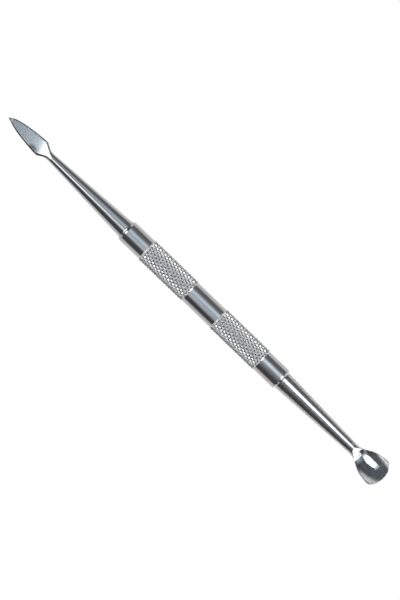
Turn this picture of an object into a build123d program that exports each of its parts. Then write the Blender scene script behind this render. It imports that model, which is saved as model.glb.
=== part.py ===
"""Double-ended cuticle pusher: tube handle with two raised bands, spear scraper tip, spoon tip.

Millimetres. X runs along the tool (spear at -X, spoon at +X), +Z is up out of
the blade's flat face and out of the spoon's hollow, the tool's axis is the X axis.
The origin is on the axis at half of the overall length.
"""
import os
from build123d import *

os.makedirs("parts", exist_ok=True)

# ------------------------------------------------------- shared dimensions
LENGTH = 140.0                 # overall length
X_SPEAR_POINT = -LENGTH / 2
X_SPOON_END = LENGTH / 2

HANDLE_X0 = -26.20             # spear-side end face
HANDLE_X1 = 31.86              # spoon-side end face
HANDLE_BORE_R = 2.25           # tube bore, filled by the spigots

SPIGOT_LEN = 10.0              # spigots pressed into the tube
SPIGOT_LEAD = 0.40             # lead-in bevel
SPIGOT_TIP_R = HANDLE_BORE_R - SPIGOT_LEAD

# tapered shanks, from the handle's end face to the neck
SPEAR_BASE_R = 2.70
SPEAR_NECK_X = -54.20
SPEAR_NECK_R = 1.1965
SPOON_BASE_R = 2.76
SPOON_NECK_X = 58.45
SPOON_NECK_R = 1.60

# ------------------------------------------------------------------- handle
HANDLE_R = 3.25                # smooth bands
END_FACE_R = 2.86              # flat of the end face, inside the rounding
END_ROUND_SPEAR = 0.85         # axial length of the rounded shoulder, spear side
END_ROUND_SPOON = 0.55         # the same on the spoon side
END_ROUND_LEAN = 0.25          # axial run per unit of rise where the rounding starts

# the two knurled bands, modelled as plain rings at the knurl's crest size
KNURL_CREST_R = 3.42
KNURL_LENGTH = 16.30           # length of each band
KNURL_STARTS = (-18.54, 8.11)  # spear-side end of each band
KNURL_EDGE = 0.30              # axial length of the bevel at both ends of a band
KNURL_SINK = 0.50              # depth of a band's ring below the smooth surface


def build_handle():
    spear_face_in = (HANDLE_X0, HANDLE_BORE_R)
    spear_face_out = (HANDLE_X0, END_FACE_R)
    spear_shoulder = (HANDLE_X0 + END_ROUND_SPEAR, HANDLE_R)
    spoon_shoulder = (HANDLE_X1 - END_ROUND_SPOON, HANDLE_R)
    spoon_face_out = (HANDLE_X1, END_FACE_R)
    spoon_face_in = (HANDLE_X1, HANDLE_BORE_R)
    along = (1.0, 0.0)

    with BuildPart() as handle:
        # tube with rounded shoulders
        with BuildSketch(Plane.XZ):
            with BuildLine():
                Line(spear_face_in, spear_face_out)
                Spline(spear_face_out, spear_shoulder, tangents=[(END_ROUND_LEAN, 1.0), along])
                Line(spear_shoulder, spoon_shoulder)
                Spline(spoon_shoulder, spoon_face_out, tangents=[along, (END_ROUND_LEAN, -1.0)])
                Line(spoon_face_out, spoon_face_in)
                Line(spoon_face_in, spear_face_in)
            make_face()
        revolve(axis=Axis.X)
        # raised bands
        for x0 in KNURL_STARTS:
            x1 = x0 + KNURL_LENGTH
            with BuildSketch(Plane.XZ):
                with BuildLine():
                    Polyline(
                        (x0, HANDLE_R - KNURL_SINK),
                        (x0, HANDLE_R),
                        (x0 + KNURL_EDGE, KNURL_CREST_R),
                        (x1 - KNURL_EDGE, KNURL_CREST_R),
                        (x1, HANDLE_R),
                        (x1, HANDLE_R - KNURL_SINK),
                        close=True,
                    )
                make_face()
            revolve(axis=Axis.X)
    return handle.part


# ---------------------------------------------------------------- spear tip
# blade edge, point first: X, half width
BLADE_EDGE = [
    (X_SPEAR_POINT, 0.04), (-69.35, 0.37), (-68.60, 0.72), (-66.98, 1.23), (-65.37, 1.58),
    (-63.75, 1.84), (-62.14, 2.05), (-60.52, 2.21), (-58.91, 2.34), (-58.20, 2.375),
]
# rounded shoulder and waist, from the widest point to the neck: X, half width
BLADE_SHOULDER = [
    BLADE_EDGE[-1], (-57.85, 2.372), (-57.55, 2.32), (-57.20, 2.15), (-56.60, 1.80),
    (-56.00, 1.49), (-55.30, 1.275), (-54.70, 1.205), (SPEAR_NECK_X, SPEAR_NECK_R),
]
BLADE_POINT_TANGENT = (0.85, 0.52)
BLADE_WIDEST_TANGENT = (1.0, 0.03)
BLADE_NECK_TANGENT = (1.0, 0.0537)   # along the shank's taper

# ground faces, thin part and then the ramp up to the shank: X, half thickness
FACE_THIN = [(-71.0, 0.29), (-66.0, 0.38), (-62.4, 0.445)]
FACE_RAMP = [
    FACE_THIN[-1], (-60.8, 0.477), (-59.8, 0.503), (-58.9, 0.538), (-58.2, 0.578),
    (-57.4, 0.644), (-56.4, 0.768), (-55.4, 0.931), (-54.4, 1.119), (-53.2, 1.356),
    (-52.6, 1.475),
]
FACE_THIN_TANGENT = (1.0, 0.018)
FACE_RAMP_END_TANGENT = (1.0, 0.199)
FACE_KEEP_HALF = 6.0           # half height and half width kept behind the ramp
FACE_KEEP_X = -10.0            # the kept region ends here, past the spigot


def build_spear_tip():
    face_x0 = FACE_THIN[0][0]
    ramp_end_x = FACE_RAMP[-1][0]
    spigot_end = HANDLE_X0 + SPIGOT_LEN

    with BuildPart() as spear_tip:
        # blade outline, shank and spigot turned as one round body
        with BuildSketch(Plane.XZ):
            with BuildLine():
                Line((X_SPEAR_POINT, 0.0), BLADE_EDGE[0])
                Spline(*BLADE_EDGE, tangents=[BLADE_POINT_TANGENT, BLADE_WIDEST_TANGENT])
                Spline(*BLADE_SHOULDER, tangents=[BLADE_WIDEST_TANGENT, BLADE_NECK_TANGENT])
                Polyline(
                    (SPEAR_NECK_X, SPEAR_NECK_R),
                    (HANDLE_X0, SPEAR_BASE_R),
                    (HANDLE_X0, HANDLE_BORE_R),
                    (spigot_end - SPIGOT_LEAD, HANDLE_BORE_R),
                    (spigot_end, SPIGOT_TIP_R),
                    (spigot_end, 0.0),
                    (X_SPEAR_POINT, 0.0),
                )
            make_face()
        revolve(axis=Axis.X)
        # both faces ground nearly flat, with a hollow ramp up to the round shank
        with BuildSketch(Plane.XZ):
            with BuildLine():
                Line((face_x0, 0.0), FACE_THIN[0])
                Spline(*FACE_THIN, tangents=[FACE_THIN_TANGENT, FACE_THIN_TANGENT])
                Spline(*FACE_RAMP, tangents=[FACE_THIN_TANGENT, FACE_RAMP_END_TANGENT])
                Polyline(
                    FACE_RAMP[-1],
                    (ramp_end_x, FACE_KEEP_HALF),
                    (FACE_KEEP_X, FACE_KEEP_HALF),
                    (FACE_KEEP_X, 0.0),
                    (face_x0, 0.0),
                )
            make_face()
            mirror(about=Plane.XZ)
        extrude(amount=FACE_KEEP_HALF, both=True, mode=Mode.INTERSECT)
    return spear_tip.part


# ---------------------------------------------------------------- spoon tip
# cross-sections of the forged blank: X, half width, bottom and top of the side
# wall, lowest point, highest point
BLANK_SECTIONS = [
    (58.0, 1.572, -0.16, 0.16, -1.580, 1.58),
    (58.5, 1.572, -0.16, 0.16, -1.580, 1.58),
    (59.0, 1.585, -0.16, 0.16, -1.575, 1.58),
    (59.5, 1.620, -0.16, 0.16, -1.555, 1.57),
    (60.0, 1.690, -0.15, 0.18, -1.505, 1.56),
    (60.5, 1.830, -0.12, 0.24, -1.420, 1.55),
    (61.0, 2.080, -0.05, 0.36, -1.310, 1.55),
    (61.5, 2.440, 0.05, 0.56, -1.180, 1.58),
    (62.1, 2.900, 0.25, 0.88, -0.980, 1.68),
    (62.8, 3.360, 0.52, 1.30, -0.760, 1.90),
    (63.6, 3.780, 0.88, 1.80, -0.525, 2.26),
    (64.6, 4.120, 1.37, 2.36, -0.230, 2.78),
    (65.8, 4.320, 1.92, 2.98, 0.130, 3.38),
    (67.2, 4.420, 2.51, 3.68, 0.610, 4.08),
    (68.8, 4.450, 3.28, 4.48, 1.350, 4.88),
    (70.6, 4.450, 4.32, 5.48, 2.390, 5.88),
]

# spoon outline, neck first: X, half width
SPOON_EDGE = [
    (60.40, 1.92), (61.12, 2.12), (62.19, 2.71), (63.27, 3.30), (64.35, 3.70),
    (65.43, 3.94), (66.50, 4.08), (67.40, 4.12), (68.15, 3.98), (68.66, 3.58),
    (69.19, 2.88), (69.70, 1.78), (X_SPOON_END, 0.0),
]
SPOON_EDGE_TANGENTS = [(1.0, 0.30), (0.0, -1.0)]
TRIM_FLARE = 0.60              # X step of the outline where it leaves the neck
TRIM_FLARE_OUT = 0.10          # widening over the first of those steps
TRIM_HALF_W = 6.0              # half width kept over the shank
TRIM_Z0 = -8.0                 # underside of the trimming block
TRIM_HEIGHT = 20.0

# two ground facets leading down from the neck into the hollow
HEEL_X0 = 58.66                # first facet starts
HEEL_X1 = 60.12                # second, steeper facet starts
HEEL_Z1 = 0.900                # height at the break between the facets
HEEL_SLOPE1 = (SPOON_NECK_R - HEEL_Z1) / (HEEL_X1 - HEEL_X0)
HEEL_SLOPE2 = 0.780            # fall of the second facet
HEEL_CROSS_R = 10.0            # crosswise radius of the second facet
HEEL_CUT_LEAD = 0.30           # the first facet's cutter starts this far before it
HEEL_CUT_X = 61.35             # the first facet's cutter stops here, clear of the rim
HEEL_CUT_SIZE = 8.0            # top height and half width of the first facet's cutter

HOLLOW_X0 = HEEL_X1 - 0.5      # ends of the hollow's cutter
HOLLOW_X1 = HEEL_X1 + 11.5
HOLLOW_HALF_W = 5.5
HOLLOW_TOP = 9.0
BOWL_FLOOR_R = 20.3            # lengthwise radius of the hollow
BOWL_CROSS_R = 5.6             # crosswise radius of the hollow
BOWL_CENTRE = (59.83, 0.0, 20.00)


def build_hollow_cutter():
    """Space above both the second facet and the curved floor."""
    half = HOLLOW_HALF_W
    rise = HEEL_CROSS_R - (HEEL_CROSS_R**2 - half**2) ** 0.5
    with BuildPart() as hollow:
        for x in (HOLLOW_X0, HOLLOW_X1):
            z = HEEL_Z1 - HEEL_SLOPE2 * (x - HEEL_X1)
            left = (-half, z + rise)
            right = (half, z + rise)
            with BuildSketch(Plane.YZ.offset(x)):
                with BuildLine():
                    ThreePointArc(left, (0.0, z), right)
                    Polyline(right, (half, HOLLOW_TOP), (-half, HOLLOW_TOP), left)
                make_face()
        loft(ruled=True)
        # a torus with its axis along Y, so that both floor radii are exact
        with Locations(Location(BOWL_CENTRE, (90, 0, 0))):
            Torus(BOWL_FLOOR_R - BOWL_CROSS_R, BOWL_CROSS_R, mode=Mode.INTERSECT)
    return hollow.part


def build_spoon_tip():
    hollow_cutter = build_hollow_cutter()
    spigot_end = HANDLE_X1 - SPIGOT_LEN
    edge_x, edge_half_w = SPOON_EDGE[0]
    cut_x0 = HEEL_X0 - HEEL_CUT_LEAD

    with BuildPart() as spoon_tip:
        # tapered shank and spigot
        with BuildSketch(Plane.XZ):
            with BuildLine():
                Polyline(
                    (spigot_end, 0.0),
                    (spigot_end, SPIGOT_TIP_R),
                    (spigot_end + SPIGOT_LEAD, HANDLE_BORE_R),
                    (HANDLE_X1, HANDLE_BORE_R),
                    (HANDLE_X1, SPOON_BASE_R),
                    (SPOON_NECK_X, SPOON_NECK_R),
                    (SPOON_NECK_X, 0.0),
                    close=True,
                )
            make_face()
        revolve(axis=Axis.X)
        # forged blank: round neck flowing out into a curved plate, still full on top
        for x, half_w, side_low, side_top, lowest, highest in BLANK_SECTIONS:
            with BuildSketch(Plane.YZ.offset(x)):
                with BuildLine():
                    ThreePointArc((-half_w, side_low), (0.0, lowest), (half_w, side_low))
                    Line((half_w, side_low), (half_w, side_top))
                    ThreePointArc((half_w, side_top), (0.0, highest), (-half_w, side_top))
                    Line((-half_w, side_top), (-half_w, side_low))
                make_face()
        loft()
        # trimmed to the spoon's outline
        with BuildSketch(Plane.XY.offset(TRIM_Z0)):
            with BuildLine():
                Spline(*SPOON_EDGE, tangents=SPOON_EDGE_TANGENTS)
                Polyline(
                    SPOON_EDGE[0],
                    (edge_x - TRIM_FLARE, edge_half_w + TRIM_FLARE_OUT),
                    (edge_x - 2 * TRIM_FLARE, TRIM_HALF_W),
                    (0.0, TRIM_HALF_W),
                    (0.0, 0.0),
                    SPOON_EDGE[-1],
                )
            make_face()
            mirror(about=Plane.XZ)
        extrude(amount=TRIM_HEIGHT, mode=Mode.INTERSECT)
        # first ground facet
        with BuildSketch(Plane.XZ):
            with BuildLine():
                Polyline(
                    (cut_x0, SPOON_NECK_R + HEEL_SLOPE1 * HEEL_CUT_LEAD),
                    (HEEL_CUT_X, HEEL_Z1 - HEEL_SLOPE1 * (HEEL_CUT_X - HEEL_X1)),
                    (HEEL_CUT_X, HEEL_CUT_SIZE),
                    (cut_x0, HEEL_CUT_SIZE),
                    close=True,
                )
            make_face()
        extrude(amount=HEEL_CUT_SIZE, both=True, mode=Mode.SUBTRACT)
        # second facet and hollow
        add(hollow_cutter, mode=Mode.SUBTRACT)
    return spoon_tip.part


# ------------------------------------------------------------- braze fillets
BRAZE_OUT_SPEAR = 0.12         # radial size on the handle's end face
BRAZE_OUT_SPOON = 0.08
BRAZE_LEN_SPEAR = 0.24         # axial length along the shank
BRAZE_LEN_SPOON = 0.20


def build_braze_ring(face_x, base_r, neck_x, neck_r, out, length):
    """Filler ring in the corner between a handle end face and its tapered shank."""
    taper = (base_r - neck_r) / abs(neck_x - face_x)
    tip_x = face_x + length if neck_x > face_x else face_x - length
    with BuildPart() as ring:
        with BuildSketch(Plane.XZ):
            with BuildLine():
                Polyline(
                    (face_x, base_r),
                    (face_x, base_r + out),
                    (tip_x, base_r - taper * length),
                    close=True,
                )
            make_face()
        revolve(axis=Axis.X)
    return ring.part


# ------------------------------------------------------------------- export
pieces = {
    "handle": build_handle(),
    "spear_tip": build_spear_tip(),
    "spoon_tip": build_spoon_tip(),
    "braze_ring_spear": build_braze_ring(
        HANDLE_X0, SPEAR_BASE_R, SPEAR_NECK_X, SPEAR_NECK_R, BRAZE_OUT_SPEAR, BRAZE_LEN_SPEAR
    ),
    "braze_ring_spoon": build_braze_ring(
        HANDLE_X1, SPOON_BASE_R, SPOON_NECK_X, SPOON_NECK_R, BRAZE_OUT_SPOON, BRAZE_LEN_SPOON
    ),
}
for name, piece in pieces.items():
    piece.label = name
    export_step(piece, f"parts/{name}.step")
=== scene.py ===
"""Double-ended cuticle pusher: a knurled tube handle with a spear tip and a spoon tip.

The tool lies along X, its axis at y = z = 0. The spear points to -X, the spoon to +X with its
hollow facing +Z. Shapes are in mm and scaled to metres when meshed; shaders work in metres.
"""
import math

import bmesh
import bpy
import numpy as np
from mathutils import Matrix, Vector


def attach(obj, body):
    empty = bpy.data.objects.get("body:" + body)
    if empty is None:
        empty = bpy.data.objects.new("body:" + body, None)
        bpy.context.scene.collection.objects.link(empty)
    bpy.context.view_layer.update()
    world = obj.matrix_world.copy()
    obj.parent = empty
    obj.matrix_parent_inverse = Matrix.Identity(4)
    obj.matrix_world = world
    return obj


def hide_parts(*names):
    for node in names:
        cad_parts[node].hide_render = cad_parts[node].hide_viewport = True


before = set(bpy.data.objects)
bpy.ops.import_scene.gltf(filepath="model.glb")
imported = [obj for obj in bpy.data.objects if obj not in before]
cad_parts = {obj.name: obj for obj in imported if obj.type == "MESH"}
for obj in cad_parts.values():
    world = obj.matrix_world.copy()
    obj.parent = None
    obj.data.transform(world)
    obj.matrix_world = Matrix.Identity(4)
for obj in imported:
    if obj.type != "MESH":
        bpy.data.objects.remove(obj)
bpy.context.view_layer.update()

MM = 0.001
TAU = 2 * math.pi

# ------------------------------------------------------------------ driving dimensions (mm)
HANDLE_X0, HANDLE_X1 = -26.20, 31.86    # spear-side and spoon-side end faces
HANDLE_R, BORE_R, FACE_R = 3.25, 2.25, 2.86
ROUND_SPEAR, ROUND_SPOON = 0.85, 0.55   # axial length of the rounded shoulders
CREST_R, ROOT_R = 3.42, 3.05            # knurl
BAND_STARTS, BAND_LENGTH = (-18.54, 8.11), 16.30
BAND_BEVEL = 0.30
DIAMONDS, DIAMOND_LENGTH = 20, 1.75     # diamonds round the tube, axial length of one
SPIGOT, LEAD_IN = 10.0, 0.40            # part of each tip inside the bore, and its chamfer
SPEAR_SHANK_R, SPOON_SHANK_R = 2.70, 2.76   # shanks at the handle's faces


# ------------------------------------------------------------------ curves
def smooth(start, end, x):
    t = np.clip((np.asarray(x, float) - start) / (end - start), 0.0, 1.0)
    return t * t * (3 - 2 * t)


def monotone_curve(table):
    """Monotone cubic through rows of (x, value)."""
    xs, ys = np.asarray(table, float).T
    gap = np.diff(xs)
    slope = np.diff(ys) / gap
    tangent = np.zeros_like(ys)
    tangent[0], tangent[-1] = slope[0], slope[-1]
    for i in range(1, len(xs) - 1):
        if slope[i - 1] * slope[i] > 0:
            w1, w2 = 2 * gap[i] + gap[i - 1], gap[i] + 2 * gap[i - 1]
            tangent[i] = (w1 + w2) / (w1 / slope[i - 1] + w2 / slope[i])

    def curve(x):
        x = np.clip(np.asarray(x, float), xs[0], xs[-1])
        i = np.clip(np.searchsorted(xs, x) - 1, 0, len(xs) - 2)
        t = (x - xs[i]) / gap[i]
        return (
            (2 * t**3 - 3 * t**2 + 1) * ys[i]
            + (t**3 - 2 * t**2 + t) * gap[i] * tangent[i]
            + (-2 * t**3 + 3 * t**2) * ys[i + 1]
            + (t**3 - t**2) * gap[i] * tangent[i + 1]
        )

    return curve


# ------------------------------------------------------------------ meshes
def add_object(name, data):
    obj = bpy.data.objects.new(name, data)
    bpy.context.scene.collection.objects.link(obj)
    return obj


def skin_rings(name, rings, sharp_deg, closed=False, cap_last=True):
    """Smooth-shaded skin over equal-length rings in mm; closed joins the last to the first."""
    rings = np.asarray(rings, float)
    count, size, _ = rings.shape
    faces = []
    for i in range(count if closed else count - 1):
        k = (i + 1) % count
        for j in range(size):
            m = (j + 1) % size
            faces.append((i * size + j, i * size + m, k * size + m, k * size + j))
    if not closed:
        faces.append(tuple(reversed(range(size))))
        if cap_last:
            faces.append(tuple((count - 1) * size + j for j in range(size)))
    mesh = bpy.data.meshes.new(name)
    mesh.from_pydata((rings.reshape(-1, 3) * MM).tolist(), [], faces)
    bm = bmesh.new()
    bm.from_mesh(mesh)
    bmesh.ops.remove_doubles(bm, verts=bm.verts, dist=2e-7)
    bmesh.ops.dissolve_degenerate(bm, edges=bm.edges, dist=1e-8)
    bmesh.ops.recalc_face_normals(bm, faces=bm.faces)
    bm.to_mesh(mesh)
    bm.free()
    mesh.polygons.foreach_set("use_smooth", [True] * len(mesh.polygons))
    mesh.set_sharp_from_angle(angle=math.radians(sharp_deg))
    mesh.update()
    return add_object(name, mesh)


def circle_ring(x, radius, angles):
    return np.stack([np.full_like(angles, x), radius * np.cos(angles), radius * np.sin(angles)], 1)


def flat_grid(name, x_range, y_range, z, steps, face_down=False):
    """Horizontal grid of steps x steps quads, in metres."""
    (x0, x1), (y0, y1) = x_range, y_range
    verts = [(x0 + (x1 - x0) * i / steps, y0 + (y1 - y0) * j / steps, z)
             for i in range(steps + 1) for j in range(steps + 1)]
    faces = []
    for i in range(steps):
        for j in range(steps):
            a, b = i * (steps + 1) + j, (i + 1) * (steps + 1) + j
            quad = (a, b, b + 1, a + 1)
            faces.append(quad[:1] + quad[:0:-1] if face_down else quad)
    mesh = bpy.data.meshes.new(name)
    mesh.from_pydata(verts, [], faces)
    return add_object(name, mesh)


# ------------------------------------------------------------------ handle
DIAMOND_STEPS = 12      # mesh steps per diamond, both ways
RING_GAP = 0.04         # between two rings that hold a crease
BEVEL_STOPS = (0.0, 0.04, 0.5, 0.96)
BAND_BLEND = 0.22       # length over which the knurl grows out of the bevel
GROOVE_FLOOR, FLANK = 0.04, 0.80    # flat groove bottom and flank, as fractions of a half diamond
BORE_MID = 2.85


def knurl_height(x, angles, band_start):
    """0 in the grooves, 1 on the crests."""
    along = (x - band_start) / DIAMOND_LENGTH
    around = angles * DIAMONDS / TAU
    rise_a = 1 - np.abs(((along + around) % 1.0) - 0.5) * 2
    rise_b = 1 - np.abs(((along - around) % 1.0) - 0.5) * 2
    return np.clip((np.minimum(rise_a, rise_b) - GROOVE_FLOOR) / FLANK, 0.0, 1.0)


def build_handle():
    """Tube with two knurled bands, rounded shoulders and an open bore."""
    count = DIAMONDS * DIAMOND_STEPS
    angles = np.arange(count) * TAU / count
    shoulder = [(math.sin(t), 1 - math.cos(t)) for t in np.linspace(0, math.pi / 2, 12)]
    rings = []

    def ring(x, radius):
        rings.append(circle_ring(x, radius, angles))

    ring(HANDLE_X0, FACE_R)
    for rise, run in shoulder[1:]:
        ring(HANDLE_X0 + ROUND_SPEAR * run, FACE_R + (HANDLE_R - FACE_R) * rise)
    plain_start = HANDLE_X0 + ROUND_SPEAR
    for start in BAND_STARTS:
        end = start + BAND_LENGTH
        ring(plain_start + RING_GAP, HANDLE_R)
        for x in np.linspace(plain_start, start, 7)[1:-1]:
            ring(x, HANDLE_R)
        ring(start - RING_GAP, HANDLE_R)
        for f in BEVEL_STOPS:
            ring(start + BAND_BEVEL * f, HANDLE_R + (CREST_R - HANDLE_R) * f)
        for x in np.arange(start + BAND_BEVEL, end - BAND_BEVEL + 1e-6,
                           DIAMOND_LENGTH / DIAMOND_STEPS):
            height = knurl_height(x, angles, start)
            full = float(smooth(BAND_BEVEL, BAND_BEVEL + BAND_BLEND, min(x - start, end - x)))
            ring(x, (ROOT_R + (CREST_R - ROOT_R) * height) * full + CREST_R * (1 - full))
        for f in reversed(BEVEL_STOPS):
            ring(end - BAND_BEVEL * f, HANDLE_R + (CREST_R - HANDLE_R) * f)
        plain_start = end
    plain_end = HANDLE_X1 - ROUND_SPOON
    ring(plain_start + RING_GAP, HANDLE_R)
    for x in np.linspace(plain_start, plain_end, 8)[1:-1]:
        ring(x, HANDLE_R)
    ring(plain_end - RING_GAP, HANDLE_R)
    ring(plain_end, HANDLE_R)
    for rise, run in reversed(shoulder[:-1]):
        ring(HANDLE_X1 - ROUND_SPOON * run, FACE_R + (HANDLE_R - FACE_R) * rise)
    for x in (HANDLE_X1, HANDLE_X1 - 4, HANDLE_X1 - 9.9, BORE_MID,
              HANDLE_X0 + 9.9, HANDLE_X0 + 4, HANDLE_X0):
        ring(x, BORE_R)
    return skin_rings("pusher_handle", rings, sharp_deg=14, closed=True)


# ------------------------------------------------------------------ spear tip
# (x, half width)
blade_half_width = monotone_curve((
    (-70, 0.04), (-69.35, 0.37), (-68.6, 0.72), (-66.98, 1.23), (-65.37, 1.58), (-63.75, 1.84),
    (-62.14, 2.05), (-60.52, 2.21), (-58.91, 2.34), (-58.2, 2.375), (-57.85, 2.372),
    (-57.55, 2.32), (-57.2, 2.15), (-56.6, 1.80), (-56.0, 1.49), (-55.3, 1.275),
    (-54.7, 1.205), (-54.2, 1.1965),
))
# (x, slope of the blade's face); summed up, it gives one even ramp up to the shank
face_slope = monotone_curve((
    (-72, 0.018), (-62.8, 0.018), (-60.8, 0.022), (-59.8, 0.031), (-58.9, 0.047), (-58.2, 0.066),
    (-57.4, 0.100), (-56.4, 0.145), (-55.4, 0.18), (-54.4, 0.195), (-52.0, 0.20),
))
FACE_STEP = 0.02
FACE_X = np.arange(-72.0, -52.0, FACE_STEP)
_slopes = face_slope(FACE_X)
FACE_Z = np.concatenate([[0.0], np.cumsum((_slopes[1:] + _slopes[:-1]) * (FACE_STEP / 2))])
FACE_Z = FACE_Z - np.interp(-66.0, FACE_X, FACE_Z) + 0.38    # half thickness 0.38 at x = -66
SLANT = 0.38            # the ramp starts on a slanted line across the blade
BLADE_X1 = -52.6        # faces end here
CONE_X, CONE_R = -54.6, 1.175       # thin end of the shank's cone
POINT_X, POINT_THICKNESS = -64, 0.55    # beyond this x, thickness is limited against the width
OFF_BLADE = 9.0         # face height beyond any radius, so it cuts nothing
FACE_POINTS, BEVEL_POINTS, FLANK_POINTS = 14, 3, 12     # per quarter section


def blade_face(x, y):
    slanted = smooth(-62.5, -59.5, x) * (1 - smooth(-57.5, -55.6, x))
    return np.interp(x + SLANT * slanted * y, FACE_X, FACE_Z)


def spear_radius(x):
    if x < -54.2:
        return float(blade_half_width(x))
    return CONE_R + (SPEAR_SHANK_R - CONE_R) * (x - CONE_X) / (HANDLE_X0 - CONE_X)


def spear_quarter(x, side):
    """Flat face, ground bevel and round flank of one quarter; side is the sign of y."""
    radius = spear_radius(x)

    def face_height(y):
        height = float(blade_face(x, side * y)) if x < BLADE_X1 else OFF_BLADE
        return min(height, POINT_THICKNESS * radius) if x < POINT_X else height

    thickness = face_height(0.0)
    corner_y = math.sqrt(max(radius * radius - thickness * thickness, 0.0))
    face_end, drop = 0.10 * radius, 0.0
    if corner_y > face_end:
        # the bevel fades out as the face narrows, and widens at the blade's shoulder
        fade = min(1.0, (corner_y - face_end) / (0.7 if x > -60 else 0.12))
        wide = float(smooth(-58.3, -57.6, x) * (1 - smooth(-57.2, -55.8, x)))
        inset = min(0.34 - 0.05 * side, 0.36 * radius) + (0.19 + 0.05 * side) * wide
        inset *= fade
        face_end = max(corner_y - inset, face_end)
        drop = min(0.62 * inset, 0.6 * thickness)
    points = []
    for i in range(FACE_POINTS):
        y = face_end * i / (FACE_POINTS - 1)
        points.append((y, min(face_height(y), math.sqrt(max(radius * radius - y * y, 0.0)))))
    top_z = points[-1][1]
    low_z = top_z - drop if drop > 0.02 * top_z else top_z * 0.98
    low_y = math.sqrt(max(radius * radius - low_z * low_z, 0.0))
    for i in range(1, BEVEL_POINTS + 1):
        f = i / BEVEL_POINTS
        points.append((face_end + (low_y - face_end) * f, top_z + (low_z - top_z) * f))
    flank_angle = math.atan2(low_z, low_y)
    for i in range(1, FLANK_POINTS + 1):
        angle = flank_angle * (1 - i / FLANK_POINTS)
        points.append((radius * math.cos(angle), radius * math.sin(angle)))
    return np.array(points)


def spear_section(x):
    plus, minus = spear_quarter(x, 1.0), spear_quarter(x, -1.0)
    ring = np.concatenate([
        plus,                               # +y, +z: top centre to side
        plus[:-1][::-1] * [1, -1],          # +y, -z: side to bottom centre
        minus[1:] * [-1, -1],               # -y, -z
        minus[1:-1][::-1] * [-1, 1],        # -y, +z
    ])
    # the blade sits slightly to +y, its very point to -y
    shift = (0.035 * (smooth(-69.9, -68.6, x) - smooth(-57.5, -54.6, x))
             - 0.17 * (1 - smooth(-70.0, -68.4, x)))
    return np.column_stack([np.full(len(ring), x), ring + [float(shift), 0.0]])


def build_spear():
    stations = np.concatenate([
        [-70.0, -69.97, -69.9, -69.8, -69.65],
        np.linspace(-69.5, -60.0, 66),
        np.linspace(-59.9, BLADE_X1, 165),
        np.linspace(-52.4, HANDLE_X0 - 0.05, 60),
        [HANDLE_X0],
    ])
    rings = [spear_section(x) for x in stations]
    angles = np.arctan2(rings[-1][:, 2], rings[-1][:, 1])
    for x, radius in ((HANDLE_X0, BORE_R), (HANDLE_X0 + 5, BORE_R),
                      (HANDLE_X0 + SPIGOT - LEAD_IN, BORE_R),
                      (HANDLE_X0 + SPIGOT, BORE_R - LEAD_IN)):
        rings.append(circle_ring(x, radius, angles))
    return skin_rings("pusher_spear", rings, sharp_deg=32)


# ------------------------------------------------------------------ spoon tip
# forged blank: (x, half width, lower side z, upper side z, bottom z, top z)
BLANK = np.array([
    (58.0, 1.572, -0.16, 0.16, -1.580, 1.58),
    (58.5, 1.572, -0.16, 0.16, -1.580, 1.58),
    (59.0, 1.585, -0.16, 0.16, -1.575, 1.58),
    (59.5, 1.620, -0.16, 0.16, -1.555, 1.57),
    (60.0, 1.690, -0.15, 0.18, -1.505, 1.56),
    (60.5, 1.830, -0.12, 0.24, -1.420, 1.55),
    (61.0, 2.080, -0.05, 0.36, -1.310, 1.55),
    (61.5, 2.440, 0.05, 0.56, -1.180, 1.58),
    (62.1, 2.900, 0.25, 0.88, -0.980, 1.68),
    (62.8, 3.360, 0.52, 1.30, -0.760, 1.90),
    (63.6, 3.780, 0.88, 1.80, -0.525, 2.26),
    (64.6, 4.120, 1.37, 2.36, -0.230, 2.78),
    (65.8, 4.320, 1.92, 2.98, 0.130, 3.38),
    (67.2, 4.420, 2.51, 3.68, 0.610, 4.08),
    (68.8, 4.450, 3.28, 4.48, 1.350, 4.88),
    (70.6, 4.450, 4.32, 5.48, 2.390, 5.88),
])
blank_width, side_low, side_high, blank_bottom, blank_top = (
    monotone_curve(BLANK[:, [0, k]]) for k in range(1, 6))
# outline of the bowl: (x, half width)
BOWL_EDGE = np.array([
    (60.40, 1.92), (61.12, 2.12), (62.19, 2.71), (63.27, 3.30), (64.35, 3.70), (65.43, 3.94),
    (66.50, 4.08), (67.40, 4.12), (68.15, 3.98), (68.66, 3.58), (69.19, 2.88), (69.70, 1.78),
    (70.00, 0.0),
])
# heel: a flat ramp down, then a ramp hollowed across, down to the floor
HEEL_X0, HEEL_Z0 = 58.66, 1.60
HEEL_X1, HEEL_Z1 = 60.12, 0.90
HEEL_CUT, SECOND_SLOPE, HEEL_R = 61.35, 0.78, 10.0      # flat ramp's end x, slope, hollow radius
# floor radii along and across, and the centre of the long sweep
FLOOR_R, CROSS_R, FLOOR_X, FLOOR_Z = 20.3, 5.6, 59.83, 20.0
SPOON_CONE_X, SPOON_CONE_R = 58.45, 1.60    # thin end of the shank's cone
NECK_X, NECK_R = 57.6, 1.58
ACROSS = 72             # steps across the spoon


def arc_height(y, half_width, side, crown, sign):
    """Height of the arc through (+-half_width, side) and (0, crown); sign +1 bulges up."""
    sag = abs(crown - side)
    radius = (half_width * half_width + sag * sag) / (2 * sag)
    return crown - sign * (radius - np.sqrt(np.maximum(radius * radius - y * y, 0.0)))


def floor_height(x, y):
    """Torus: a circle of CROSS_R swept round a Y axis at (FLOOR_X, FLOOR_Z)."""
    sweep = FLOOR_R - CROSS_R + np.sqrt(np.maximum(CROSS_R**2 - y * y, 0.0))
    return FLOOR_Z - np.sqrt(np.maximum(sweep * sweep - (x - FLOOR_X) ** 2, 0.0))


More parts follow.
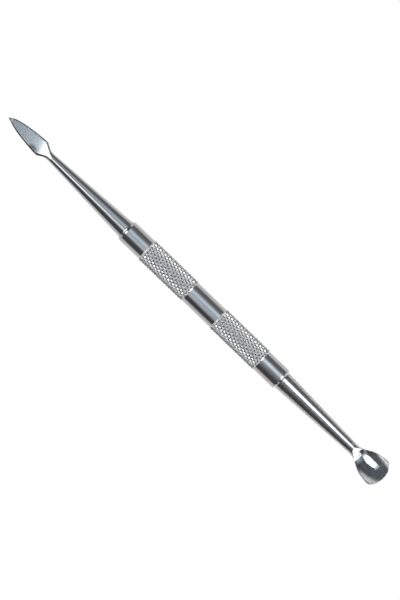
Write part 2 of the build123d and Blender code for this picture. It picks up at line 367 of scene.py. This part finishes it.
def upper_height(x, y):
    first_slope = (HEEL_Z0 - HEEL_Z1) / (HEEL_X1 - HEEL_X0)
    flat_ramp = HEEL_Z1 - first_slope * (x - HEEL_X1)
    hollow_ramp = (HEEL_Z1 - SECOND_SLOPE * (x - HEEL_X1)
                   + HEEL_R - np.sqrt(np.maximum(HEEL_R**2 - y * y, 0)))
    hollow = np.maximum(hollow_ramp, floor_height(x, y))
    z = np.minimum(arc_height(y, blank_width(x), side_high(x), blank_top(x), 1), hollow)
    return np.where(x < HEEL_CUT, np.minimum(z, flat_ramp), z)


def lower_height(x, y):
    return arc_height(y, blank_width(x), side_low(x), blank_bottom(x), -1)


def edge_curve(points, steps):
    """Dense centripetal curve through the points, crossing the axis square at the last one."""
    points = np.vstack([2 * points[0] - points[1], points, points[-2] * [1, -1]])
    curve = []
    for i in range(1, len(points) - 2):
        p0, p1, p2, p3 = points[i - 1:i + 3]
        gaps = [np.linalg.norm(b - a) ** 0.5 for a, b in ((p0, p1), (p1, p2), (p2, p3))]
        t0, t1, t2, t3 = np.cumsum([0.0] + gaps)
        for t in np.linspace(t1, t2, steps, endpoint=False):
            def mix(a, b, start, end):
                return (end - t) / (end - start) * a + (t - start) / (end - start) * b

            middle = mix(p1, p2, t1, t2)
            before = mix(mix(p0, p1, t0, t1), middle, t0, t2)
            after = mix(middle, mix(p2, p3, t2, t3), t1, t3)
            curve.append(mix(before, after, t1, t2))
    curve.append(points[-2])
    return np.array(curve)


def spoon_outline():
    """Half outline (x, half width) from the neck to the end."""
    bowl = edge_curve(BOWL_EDGE, 60)
    # near the neck the blank is narrower than the bowl's outline
    near = bowl[:, 0] < 63.0
    bowl[near, 1] = np.minimum(bowl[near, 1], blank_width(bowl[near, 0]))
    neck_x = np.linspace(BLANK[0, 0], BOWL_EDGE[0, 0], 90, endpoint=False)
    line = np.vstack([np.column_stack([neck_x, blank_width(neck_x)]), bowl])
    length = np.r_[0, np.cumsum(np.hypot(*np.diff(line, axis=0).T))]
    # fine steps through the heel, wider ones along the bowl
    heel_start = np.interp(58.7, line[:, 0], length)
    bowl_start = np.interp(62.6, line[:, 0], length)
    stops = np.concatenate([
        np.linspace(0, heel_start, 6, endpoint=False),
        np.linspace(heel_start, bowl_start, 120, endpoint=False),
        np.linspace(bowl_start, length[-1], 120),
    ])
    return np.column_stack([np.interp(stops, length, line[:, k]) for k in (0, 1)])


def spoon_ring(edge_x, edge_y, normal_x, normal_y):
    """Loop over the top, round the +y rim, back under the bottom and up the -y rim."""
    rim_r = 0.02 + 0.09 * float(smooth(60.6, 63.0, edge_x))
    inner_x = edge_x - rim_r * normal_x
    inner_y = max(edge_y - rim_r * normal_y, 0.0)
    y = inner_y * np.sin(np.linspace(-math.pi / 2, math.pi / 2, ACROSS + 1))
    x = np.full_like(y, inner_x)
    rim_top = float(upper_height(inner_x, inner_y))
    rim_bottom = float(lower_height(inner_x, inner_y))
    round_z = min(rim_r, (rim_top - rim_bottom) * 0.42)

    def rim_point(angle, z, sign):
        inset = rim_r * (1 - math.sin(angle))
        return (edge_x - inset * normal_x, max(edge_y - inset * normal_y, 0.0),
                z - sign * round_z * (1 - math.cos(angle)))

    rim_angles = np.linspace(0, math.pi / 2, 5)[1:]
    rim = [rim_point(angle, rim_top, 1) for angle in rim_angles]
    rim += [rim_point(angle, rim_bottom, -1) for angle in rim_angles[::-1]]
    points = list(zip(x, y, upper_height(x, y))) + rim
    points += list(zip(x, y[::-1], lower_height(x, y[::-1])))
    points += [(px, -py, pz) for px, py, pz in rim[::-1]]
    return np.array(points, float)


def spoon_shank(angles):
    """Rings of the spigot and the cone, up to the neck."""
    def cone(x):
        return (SPOON_SHANK_R + (SPOON_CONE_R - SPOON_SHANK_R)
                * (x - HANDLE_X1) / (SPOON_CONE_X - HANDLE_X1))

    profile = [
        (HANDLE_X1 - SPIGOT, BORE_R - LEAD_IN), (HANDLE_X1 - SPIGOT + LEAD_IN, BORE_R),
        (HANDLE_X1 - 5, BORE_R), (HANDLE_X1, BORE_R), (HANDLE_X1, cone(HANDLE_X1)),
    ]
    profile += [(x, cone(x)) for x in np.linspace(HANDLE_X1 + 0.05, NECK_X, 60)]
    # ease into the forged neck
    profile += [(x, cone(x) + (NECK_R - cone(x)) * float(smooth(NECK_X, 58.05, x)))
                for x in (57.75, 57.9)]
    return [circle_ring(x, radius, angles) for x, radius in profile]


def build_spoon():
    outline = spoon_outline()
    tangents = np.gradient(outline, axis=0)
    tangents /= np.linalg.norm(tangents, axis=1)[:, None]
    normals = np.column_stack([-tangents[:, 1], tangents[:, 0]])    # outward on the +y side
    normals[-1] = (1.0, 0.0)
    rings = [spoon_ring(*edge, *normal) for edge, normal in zip(outline, normals)]
    angles = np.arctan2(rings[0][:, 2], rings[0][:, 1])
    return skin_rings("pusher_spoon", spoon_shank(angles) + rings, sharp_deg=40, cap_last=False)


# ------------------------------------------------------------------ brazing fillets
def build_braze(name, face_x, shank_r, height, length, slope, direction):
    """Concave fillet from an end face down to the shank, which thins by slope."""
    angles = np.arange(160) * TAU / 160
    sunk = 0.03         # its inner edge lies this far inside the shank
    profile = []
    for t in np.arange(9) / 8:
        radius = shank_r - slope * length * t + height * (1 - t) ** 1.7 + 0.004
        profile.append((face_x + direction * length * t, radius))
    profile.append((face_x + direction * length, shank_r - slope * length - sunk))
    profile.append((face_x, shank_r - sunk))
    rings = [circle_ring(x, radius, angles) for x, radius in profile]
    return skin_rings(name, rings, sharp_deg=50, closed=True)


# ------------------------------------------------------------------ shader nodes
class Shader:
    """Short names for building the node tree of a material or world."""

    def __init__(self, owner):
        owner.use_nodes = True
        self.tree = owner.node_tree
        self.tree.nodes.clear()

    def put(self, socket, value):
        if isinstance(value, bpy.types.NodeSocket):
            self.tree.links.new(value, socket)
        else:
            socket.default_value = value

    def node(self, kind, inputs=(), **settings):
        node = self.tree.nodes.new("ShaderNode" + kind)
        for key, value in settings.items():
            setattr(node, key, value)
        for key, value in dict(inputs).items():
            self.put(node.inputs[key], value)
        return node

    def calc(self, operation, *values):
        return self.node("Math", enumerate(values), operation=operation).outputs[0]

    def add(self, a, b):
        return self.calc("ADD", a, b)

    def sub(self, a, b):
        return self.calc("SUBTRACT", a, b)

    def mul(self, a, b):
        return self.calc("MULTIPLY", a, b)

    def div(self, a, b):
        return self.calc("DIVIDE", a, b)

    def ramp(self, value, over, to=(0.0, 1.0)):
        """Smooth step from to[0] to to[1] as value crosses the range over."""
        return self.node("MapRange", {
            "Value": value, "From Min": over[0], "From Max": over[1],
            "To Min": to[0], "To Max": to[1],
        }, interpolation_type="SMOOTHSTEP").outputs["Result"]

    def fall(self, value, over):
        return self.ramp(value, over, to=(1.0, 0.0))

    def band(self, value, between, soft):
        """1 inside the range, with edges softened by +-soft."""
        start, end = between
        return self.mul(self.ramp(value, (start - soft, start + soft)),
                        self.fall(value, (end - soft, end + soft)))

    def coords(self):
        return self.node("TexCoord").outputs["Object"]

    def xyz(self, vector):
        return self.node("SeparateXYZ", {0: vector}).outputs

    def stretch(self, vector, scale):
        return self.node("Mapping", {"Vector": vector, "Scale": scale}).outputs[0]

    def noise(self, vector, scale=1.0, detail=3.0, rough=0.5):
        return self.node("TexNoise", {
            "Vector": vector, "Scale": scale, "Detail": detail, "Roughness": rough,
        }).outputs[0]

    def bump(self, height, strength, distance, **below):
        """below: Normal=, the normal this bump is laid over."""
        return self.node("Bump", {
            "Strength": strength, "Distance": distance, "Height": height, **below,
        }).outputs[0]

    def mix(self, factor, a, b, blend="MIX"):
        return self.node("Mix", {}, data_type="RGBA", blend_type=blend) if False else \
            self._mix(factor, a, b, blend)

    def _mix(self, factor, a, b, blend):
        node = self.node("Mix", data_type="RGBA", blend_type=blend)
        for index, value in ((0, factor), (6, a), (7, b)):
            self.put(node.inputs[index], value)
        return node.outputs[2]

    def scale_color(self, color, factor):
        return self.node("VectorMath", {0: color, "Scale": factor}, operation="SCALE").outputs[0]

    def combine(self, *channels):
        return self.node("CombineColor", enumerate(channels)).outputs[0]

    def output(self, kind, surface):
        self.node("Output" + kind, {0: surface})


# ------------------------------------------------------------------ materials
STEEL_TONES = ((0.60, 0.60, 0.60, 1), (0.55, 0.55, 0.555, 1))


def finish_metal(k, color, roughness, normal, extra=()):
    metal = k.node("BsdfPrincipled", {
        "Metallic": 1.0, "Base Color": color, "Roughness": roughness, "Normal": normal,
        **dict(extra),
    })
    k.output("Material", metal.outputs[0])


def knurl_shading(k, coords, x, start, color, roughness):
    """Bright satin metal on one knurled band, with painted shade in the grooves and at low angles.
    """
    inside = ((start + 0.2) * MM, (start + BAND_LENGTH - 0.2) * MM)
    on = k.band(x, between=inside, soft=0.1 * MM)
    color = k.mix(on, color, (0.86, 0.86, 0.86, 1))
    roughness = k.add(roughness, k.mul(on, 0.24))
    # painted shade in the pits where the grooves cross
    _, y, z = k.xyz(coords)
    along = k.div(k.sub(x, start * MM), DIAMOND_LENGTH * MM)
    around = k.mul(k.calc("ARCTAN2", z, y), DIAMONDS / TAU)
    heights = []
    for operation in ("ADD", "SUBTRACT"):
        phase = k.calc("FRACT", k.calc(operation, along, around))
        offset = k.calc("ABSOLUTE", k.sub(phase, 0.5))
        heights.append(k.sub(1.0, k.mul(offset, 2.0)))
    pit_shade = k.fall(k.add(*heights), over=(0.25, 0.85))
    color = k.mix(k.mul(k.mul(on, pit_shade), 0.95), color, (0.07, 0.07, 0.074, 1))
    # seen at a low angle the bumps shade each other
    radial = k.node("CombineXYZ", {1: y, 2: z}).outputs[0]
    unit = k.node("VectorMath", {0: radial}, operation="NORMALIZE").outputs[0]
    facing = k.node("LayerWeight", {"Blend": 0.5, "Normal": unit}).outputs["Facing"]
    low = k.mul(on, k.ramp(facing, over=(0.30, 0.62), to=(0.0, 0.40)))
    return k.mix(low, color, (0.02, 0.02, 0.02, 1)), roughness


def hollow_shading(k, coords, x, color, normal):
    """Hand-polished hollow: soft cloudy film, painted shade where the heel meets the bowl, painted
    light towards +y, a painted blue-grey reflection down the middle, and slight waviness.
    """
    spots = k.noise(coords, scale=1500.0, rough=0.6)
    film_and_painted_light = k.ramp(spots, over=(0.30, 0.70), to=(0.76, 1.24))
    # painted shade: a darker band where the heel runs into the bowl
    heel_shade = k.mul(k.ramp(x, over=(0.0614, 0.0616)), k.fall(x, over=(0.0619, 0.0634)))
    film_and_painted_light = k.mul(film_and_painted_light, k.sub(1.0, k.mul(heel_shade, 0.28)))
    y = k.xyz(coords)[1]
    inside = k.ramp(x, over=(0.0615, 0.0625))
    # painted light: brighter from the middle to +y, a little more at the +y edge
    lift = k.mul(inside, k.ramp(y, over=(-0.0025, -0.0012), to=(0.0, 0.36)))
    lift = k.add(lift, k.mul(inside, k.ramp(y, over=(0.0027, 0.0033), to=(0.0, 0.04))))
    film_and_painted_light = k.mul(film_and_painted_light, k.add(1.0, lift))
    # painted blue-grey reflection down the middle of the bowl
    blue_reflection = k.mul(inside, k.band(y, between=(-0.0020, 0.0016), soft=0.0004))
    color = k.scale_color(k.mix(blue_reflection, color, (0.52, 0.555, 0.61, 1)), film_and_painted_light)
    waves = k.noise(coords, scale=700.0, detail=2.0)
    return color, k.bump(waves, strength=1.0, distance=0.000008, Normal=normal)


def polished_steel(name, rough, turned, painted_joint_lines, tones=STEEL_TONES, knurled=False, hollow=False):
    """Polished stainless with turning lines round the axis and soft wear.

    painted_joint_lines: painted shade or painted highlight lines by the joint, as (x0, x1, y0, y1,
    tone, strength) in mm.
    """
    material = bpy.data.materials.new(name)
    k = Shader(material)
    coords = k.coords()
    wear = k.noise(coords, scale=420.0, detail=4.0, rough=0.55)
    lines = k.noise(k.stretch(coords, (9000.0, 700.0, 700.0)), detail=2.0)
    cloud = k.noise(k.stretch(coords, (160.0, 420.0, 420.0)))
    color = k.mix(k.ramp(cloud, over=(0.35, 0.75)), *tones)
    roughness = k.add(k.mul(k.ramp(wear, over=(0.35, 0.75)), 0.05), rough)
    roughness = k.add(roughness, k.mul(lines, 0.04))
    x = k.xyz(coords)[0]
    if knurled:
        for start in BAND_STARTS:
            color, roughness = knurl_shading(k, coords, x, start, color, roughness)
    for x0, x1, y0, y1, tone, strength in painted_joint_lines:
        on = k.mul(k.band(x, between=(x0 * MM, x1 * MM), soft=0.03 * MM),
                   k.band(k.xyz(coords)[1], between=(y0 * MM, y1 * MM), soft=0.15 * MM))
        color = k.mix(k.mul(on, strength), color, (tone, tone, tone * 1.02, 1))
    normal = k.bump(lines, strength=turned, distance=0.00001)
    if hollow:
        color, normal = hollow_shading(k, coords, x, color, normal)
    finish_metal(k, color, roughness, normal)
    return material


def handle_steel(name):
    # painted shade in the corners where the handle meets the tips
    return polished_steel(name, rough=0.075, turned=0.18, knurled=True, painted_joint_lines=(
        (HANDLE_X0 - 0.1, HANDLE_X0 + 0.36, 0.25, 1.75, 0.06, 0.8),
        (HANDLE_X0 - 0.1, HANDLE_X0 + 0.36, -1.85, -0.95, 0.06, 0.8),
        (HANDLE_X1 - 0.38, HANDLE_X1 + 0.1, -1.85, -0.30, 0.06, 0.8),
        (HANDLE_X1 - 0.07, HANDLE_X1 + 0.1, -0.30, 1.20, 0.06, 0.8),
    ))


def spoon_steel(name):
    # painted shade at the joint with the handle
    return polished_steel(name, rough=0.06, turned=0.12, hollow=True, painted_joint_lines=(
        (HANDLE_X1, HANDLE_X1 + 0.28, -0.9, 1.20, 0.06, 0.85),
    ))


def spear_braze(name):
    tones = ((0.40, 0.40, 0.39, 1), (0.34, 0.34, 0.335, 1))
    # painted shade lines at the joint, and a painted highlight across the middle
    return polished_steel(name, rough=0.12, turned=0.1, tones=tones, painted_joint_lines=(
        (HANDLE_X0 - 0.5, HANDLE_X0 + 0.1, 0.90, 1.80, 0.08, 0.85),
        (HANDLE_X0 - 0.5, HANDLE_X0 + 0.1, -1.85, -1.0, 0.08, 0.85),
        (HANDLE_X0 - 0.5, HANDLE_X0 - 0.05, -0.75, 0.35, 0.95, 0.9),
    ))


def spoon_braze(name):
    tones = ((0.93, 0.93, 0.92, 1), (0.86, 0.86, 0.85, 1))
    # painted shade at the joint with the handle
    return polished_steel(name, rough=0.38, turned=0.1, tones=tones, painted_joint_lines=(
        (HANDLE_X1 - 0.1, HANDLE_X1 + 0.3, -0.9, 1.20, 0.06, 0.93),
    ))


def spear_steel(name):
    """Polished shank; the blade's faces are ground with fine lines across the blade."""
    material = bpy.data.materials.new(name)
    k = Shader(material)
    coords = k.coords()
    x, y, z = k.xyz(coords)
    blade = k.fall(x, over=(-0.0585, -0.0552))
    lines = k.noise(k.stretch(coords, (4200.0, 110.0, 110.0)), rough=0.6)
    broad = k.noise(k.stretch(coords, (900.0, 60.0, 60.0)), detail=2.0)
    wear = k.noise(coords, scale=420.0, detail=4.0, rough=0.55)
    tone = k.add(k.mul(lines, 0.5), k.mul(broad, 0.5))
    ground = k.mix(k.ramp(tone, over=(0.30, 0.70)),
                   (0.585, 0.622, 0.652, 1), (0.510, 0.545, 0.574, 1))
    # painted light and shade: darker towards the point and both sides, lighter towards the shank
    across = k.mul(k.ramp(y, over=(-0.0019, 0.0002), to=(0.81, 1.0)),
                   k.ramp(y, over=(0.0010, 0.0018), to=(1.0, 0.93)))
    along = k.ramp(x, over=(-0.068, -0.060), to=(0.86, 1.18))
    ground = k.scale_color(ground, k.mul(along, across))
    # painted dark reflection, an oval on the upper face: centre (-59.6, -1.6) mm, half axes 1.6
    # and 0.82 mm
    oval_x = k.div(k.add(x, 0.05960), 0.00160)
    oval_y = k.div(k.add(y, 0.00160), 0.00082)
    reflection_oval = k.fall(k.add(k.mul(oval_x, oval_x), k.mul(oval_y, oval_y)), over=(0.0, 1.3))
    reflection_oval = k.mul(reflection_oval, k.ramp(z, over=(0.0, 0.0002)))
    ground = k.mix(k.mul(reflection_oval, 0.95), ground, (0.20, 0.215, 0.235, 1))
    color = k.mix(blade, STEEL_TONES[0], ground)
    roughness = k.add(0.07, k.mul(k.ramp(wear, over=(0.35, 0.75)), 0.03))
    roughness = k.add(roughness, k.mul(blade, k.add(0.07, k.mul(lines, 0.08))))
    height = k.mul(k.add(lines, k.mul(broad, 0.6)), k.add(0.12, blade))
    finish_metal(k, color, roughness, k.bump(height, strength=0.08, distance=0.000008), {
        "Anisotropic": k.mul(blade, 0.85),
        "Tangent": k.node("CombineXYZ", {0: 1.0}).outputs[0],
    })
    return material


# ------------------------------------------------------------------ assemble
# object, CAD node it replaces, material slot, material
PIECES = (
    (build_handle(), "handle", "handle_steel", handle_steel),
    (build_spear(), "spear_tip", "spear_steel", spear_steel),
    (build_spoon(), "spoon_tip", "spoon_steel", spoon_steel),
    (build_braze("pusher_braze_spear", HANDLE_X0, SPEAR_SHANK_R, height=0.12, length=0.24,
                 slope=0.0537, direction=-1), "braze_ring_spear", "braze_spear", spear_braze),
    (build_braze("pusher_braze_spoon", HANDLE_X1, SPOON_SHANK_R, height=0.08, length=0.20,
                 slope=0.0436, direction=1), "braze_ring_spoon", "braze_spoon", spoon_braze),
)
for piece, node_name, slot_name, make_material in PIECES:
    piece.data.materials.append(make_material(slot_name))
    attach(piece, "root")
    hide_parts(node_name)


# ------------------------------------------------------------------ studio
def horizon(k, zenith):
    """Brightness of the white sweep against the angle from straight up, in degrees."""
    main = k.ramp(zenith, over=(81, 107), to=(0.0, 0.76))
    below = k.ramp(zenith, over=(108, 150), to=(0.0, 0.07))
    bottom = k.ramp(zenith, over=(150, 168), to=(0.0, 0.17))
    return k.add(main, k.add(below, bottom))


def build_floor():
    """White floor just under the knurl's crests, glowing like the sweep behind it."""
    half = 1.6
    floor = flat_grid("floor", (-half, half), (-half, half), -CREST_R * MM - 0.00002, steps=8)
    material = bpy.data.materials.new("floor_white")
    k = Shader(material)
    up = k.xyz(k.node("NewGeometry").outputs["Incoming"])[2]
    zenith = k.sub(180.0, k.calc("DEGREES", k.calc("ARCCOSINE", up)))
    glow = k.node("Emission", {0: (1, 1, 1, 1), 1: horizon(k, zenith)})
    k.output("Material", glow.outputs[0])
    floor.data.materials.append(material)


build_floor()

BLUE = (0.88, 1.0, 1.13)
# overhead light: (degrees from straight up towards +Y, brightness)
OVERHEAD = (
    (-83, 0.075), (-71, 0.072), (-60, 0.075), (-49, 0.095), (-39, 0.115), (-29, 0.19),
    (-19, 0.27), (-9.5, 0.335), (-3, 0.41), (0, 0.47), (4, 0.60), (9.5, 0.74), (19, 0.84),
    (29, 0.76), (39, 0.47), (49, 0.23), (60, 0.165), (71, 0.160), (83, 0.15),
)


# In the world's functions ax and ay are degrees from straight up towards +X and +Y.
def overhead_light(k, ax, ay):
    """Soft overhead light, brighter towards +Y, in a dim surround."""
    ramp = k.node("ValToRGB")
    stops = ramp.color_ramp.elements
    stops.remove(stops[-1])
    for i, (degrees, value) in enumerate(OVERHEAD):
        position = (degrees + 90) / 180
        stop = stops[0] if i == 0 else stops.new(position)
        stop.position = position
        tint = min(1.0, max(0.0, (value - 0.1) / 0.25))     # only the bright part is blue
        stop.color = tuple(value * (1 + (c - 1) * tint) for c in BLUE) + (1,)
    k.put(ramp.inputs[0], k.div(k.add(ay, 90.0), 180.0))
    inside = k.mul(k.ramp(ax, over=(-13, -6)), k.fall(ax, over=(12, 46)))
    dim = k.mul(k.mul(k.ramp(ay, over=(0, 45)), k.ramp(ax, over=(-16, -6))), 0.085)
    dim = k.add(dim, k.ramp(ax, over=(-22, -10), to=(0.115, 0.072)))
    surround = k.combine(*(k.mul(dim, c) for c in (0.94, 1.0, 1.07)))
    return k.mix(inside, surround, ramp.outputs[0])


def minus_x_softbox(k, ax, ay):
    """Square softbox with a bent +Y edge and two slanted cuts."""
    def slanted(x_part, y_part):
        return k.add(k.mul(ax, x_part), k.mul(ay, y_part))

    edge = k.add(k.mul(k.calc("MINIMUM", k.add(ax, 18.5), 0.0), 0.50), 4.2)
    top = k.fall(k.sub(ay, edge), over=(-1.5, 1.5))
    corner = k.fall(slanted(x_part=0.76, y_part=0.65), over=(-13, -10))
    corner = k.mul(corner, k.fall(slanted(x_part=0.886, y_part=-0.463), over=(0.5, 4.0)))
    # a thin dimmer strip lies beyond the far side
    side = k.add(k.ramp(ax, over=(-33.5, -31.5)),
                 k.mul(k.band(ax, between=(-36.2, -34.8), soft=0.5), 0.7))
    shifted = k.add(ax, k.ramp(ay, over=(-14, -6), to=(0.45, 0.0)))
    box = k.mul(k.mul(k.calc("MINIMUM", side, 1.0), k.fall(shifted, over=(-10.5, -6.8))),
                k.mul(k.ramp(ay, over=(-33.5, -29.5)), k.mul(top, corner)))
    return k.mul(box, 2.2)


def plus_x_softbox(k, ax, ay):
    """Long softbox, wider and brighter far out."""
    near = k.mul(k.mul(k.ramp(ax, over=(1, 7)), k.fall(ax, over=(80, 90))),
                 k.band(ay, between=(6, 34.5), soft=3.0))
    far = k.mul(k.band(ax, between=(40, 86), soft=5), k.band(ay, between=(-4.0, 36), soft=1.5))
    far = k.mul(far, k.ramp(ax, over=(62, 70), to=(1.0, 1.6)))
    return k.mul(k.calc("MAXIMUM", near, far), 2.1)


def pale_glows(k, ax, ay, zenith):
    """Low glow on the -X side, and smaller patches round the sky."""
    lowered = k.sub(zenith, k.ramp(ay, over=(-25, 5), to=(13.0, 0.0)))
    low = k.mul(k.ramp(lowered, over=(54, 78)), k.fall(ax, over=(-24, -10)))
    far = k.mul(k.fall(ax, over=(-62, -54)), k.band(ay, between=(-42, 14), soft=7))
    corner = k.mul(k.ramp(ax, over=(8, 24)), k.ramp(ay, over=(42, 66)))
    fill = k.mul(k.band(ax, between=(28, 70), soft=8), k.band(ay, between=(-52, -16), soft=6))
    shine = k.mul(k.band(ax, between=(8, 20), soft=2), k.band(ay, between=(-22, -8), soft=7))
    total = k.mul(low, 0.70)
    for patch, strength in ((far, 1.3), (corner, 0.45), (fill, 0.8), (shine, 0.11)):
        total = k.add(total, k.mul(patch, strength))
    return total


def build_world():
    world = bpy.data.worlds.new("studio")
    bpy.context.scene.world = world
    k = Shader(world)
    x, y, z = k.xyz(k.node("TexCoord").outputs["Generated"])
    zenith = k.calc("DEGREES", k.calc("ARCCOSINE", z))
    # the small term avoids dividing by zero straight up
    flat = k.calc("SQRT", k.add(k.add(k.mul(x, x), k.mul(y, y)), 1e-9))
    ax = k.div(k.mul(zenith, x), flat)
    ay = k.div(k.mul(zenith, y), flat)
    sky = overhead_light(k, ax, ay)
    boxes = k.add(minus_x_softbox(k, ax, ay), plus_x_softbox(k, ax, ay))
    white = k.add(boxes, k.add(pale_glows(k, ax, ay, zenith), horizon(k, zenith)))
    light = k.mix(1.0, sky, k.combine(white, white, white), blend="ADD")
    k.output("World", k.node("Background", {0: light, 1: 1.0}).outputs[0])


build_world()


def build_diffuser():
    """Soft panel above the spear half of the tool, hidden from the camera."""
    panel = flat_grid("overhead_diffuser", (-0.20, 0.05), (-0.42, 0.04), 0.40, steps=6,
                      face_down=True)
    material = bpy.data.materials.new("diffuser_glow")
    k = Shader(material)
    x, y, _ = k.xyz(k.coords())
    x_mm, y_mm = k.mul(x, 1000.0), k.mul(y, 1000.0)
    # the -Y edge is slanted, and straight at y = -245 mm towards -X
    edge = k.calc("MINIMUM", k.add(k.mul(x_mm, -4.4), -357.0), -245.0)
    along = k.mul(k.fall(x_mm, over=(8, 26)), k.ramp(x_mm, over=(-190, -100)))
    across = k.mul(k.ramp(k.sub(y_mm, edge), over=(-70, 70)), k.fall(y_mm, over=(-60, 12)))
    glow = k.node("Emission", {0: (*BLUE, 1), 1: k.mul(k.mul(along, across), 0.40)})
    clear = k.node("BsdfTransparent")
    k.output("Material", k.node("AddShader", {0: glow.outputs[0], 1: clear.outputs[0]}).outputs[0])
    panel.data.materials.append(material)
    panel.visible_camera = False
    panel.visible_shadow = False


build_diffuser()


# ------------------------------------------------------------------ camera
def build_camera():
    """Looks straight down, turned so the tool lies diagonally in the frame."""
    turn = math.radians(43.97)
    frame_width = 161.55 * MM       # seen at the tool's axis
    right = Vector((math.cos(turn), math.sin(turn), 0))
    up = Vector((-math.sin(turn), math.cos(turn), 0))
    back = Vector((0, 0, 1))
    data = bpy.data.cameras.new("camera")
    camera = add_object("camera", data)
    data.lens = 200
    data.sensor_width = 36
    data.clip_start = 0.01
    data.clip_end = 20
    distance = frame_width * data.lens / data.sensor_width
    target = Vector((2.66 * MM, 0, 0)) + right * (-0.89391 * MM) + up * (1.15508 * MM)
    axes = Matrix((right, up, back)).transposed().to_4x4()
    camera.matrix_world = Matrix.Translation(target + back * distance) @ axes
    bpy.context.scene.camera = camera


build_camera()
bpy.context.scene.view_settings.view_transform = "Standard"
bpy.context.scene.view_settings.look = "None"
